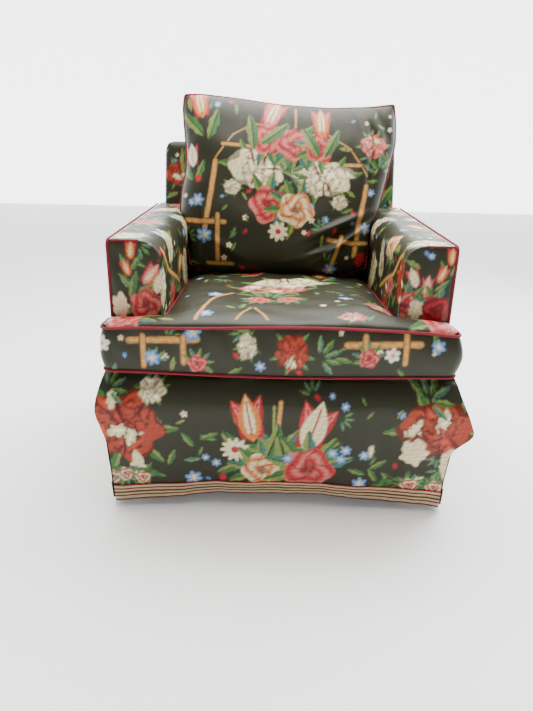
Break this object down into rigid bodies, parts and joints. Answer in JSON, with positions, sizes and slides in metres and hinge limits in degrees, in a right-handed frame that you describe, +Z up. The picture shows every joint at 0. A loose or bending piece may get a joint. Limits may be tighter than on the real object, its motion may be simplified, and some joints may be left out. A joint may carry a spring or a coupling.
{
  "type": "upholstered armchair",
  "caption": "Skirted club armchair in floral chintz with a loose T-shaped seat cushion and a loose back cushion, both zipped.",
  "frame": {"origin": "centre of the footprint on the floor", "axes": "+Z up; the chair faces -Y; X across, with -X on the left of someone who faces the chair"},
  "size_m": [0.8826, 0.8608, 1.0253],
  "materials": {
    "chintz": "glazed cotton, floral print",
    "welt": "covered cord",
    "ticking": "striped cotton",
    "lining": "dark lining cloth",
    "filling": "foam and cotton felt",
    "tape": "woven zipper tape",
    "beech": "planed hardwood",
    "steel": "spring steel",
    "brass": "worn brass",
    "glide": "nylon"
  },
  "bodies": {
    "chair": {"arm_cover_left": "chintz", "arm_cover_right": "chintz", "arm_padding_left": "filling", "arm_padding_right": "filling", "arm_post_left": "beech", "arm_post_right": "beech", "arm_tack_rail_left": "beech", "arm_tack_rail_right": "beech", "arm_top_rail_left": "beech", "arm_top_rail_right": "beech", "arm_welt_left": "welt", "arm_welt_right": "welt", "back_cover": "chintz", "back_lower_rail": "beech", "back_padding": "filling", "back_post_left": "beech", "back_post_right": "beech", "back_rail": "beech", "back_spring_clips": "steel", "back_springs": "steel", "back_top_rail": "beech", "back_welt": "welt", "block_screws": "steel", "corner_blocks": "beech", "corner_folds": "chintz", "deck_cover": "lining", "deck_pad": "filling", "dust_cover": "lining", "dust_cover_staples": "steel", "front_edge_roll": "filling", "front_leg_left": "beech", "front_leg_right": "beech", "front_rail": "beech", "leg_glides": "glide", "pleat_inserts": "lining", "seat_insulator": "lining", "seat_spring_clips": "steel", "seat_springs": "steel", "side_rail_left": "beech", "side_rail_right": "beech", "skirt_back": "chintz", "skirt_band_back": "ticking", "skirt_band_front": "ticking", "skirt_band_left": "ticking", "skirt_band_right": "ticking", "skirt_front": "chintz", "skirt_headers": "filling", "skirt_left": "chintz", "skirt_right": "chintz"},
    "seat_cushion": {"seat_core": "filling", "seat_cushion_cover": "chintz", "seat_welt_top": "welt", "seat_welt_bottom": "welt", "seat_zipper_tape": "tape"},
    "back_cushion": {"back_cushion_core": "filling", "back_cushion_cover": "chintz", "back_cushion_welt": "welt", "back_cushion_zipper_tape": "tape"},
    "seat_zip": {"seat_zip_slider": "brass"},
    "back_cushion_zip": {"back_cushion_zip_slider": "brass"}
  },
  "joints": [
    {"name": "seat_cushion_slide", "type": "slide", "parent": "chair", "child": "seat_cushion", "axis": [0, -1, 0], "range_m": [0, 0.45]},
    {"name": "back_cushion_lift", "type": "slide", "parent": "chair", "child": "back_cushion", "axis": [0, 0.2756, 0.9613], "range_m": [0, 0.4]},
    {"name": "seat_zip_slide", "type": "slide", "parent": "seat_cushion", "child": "seat_zip", "axis": [1, 0, 0], "range_m": [0, 0.34]},
    {"name": "back_cushion_zip_slide", "type": "slide", "parent": "back_cushion", "child": "back_cushion_zip", "axis": [1, 0, 0], "range_m": [0, 0.34]}
  ]
}
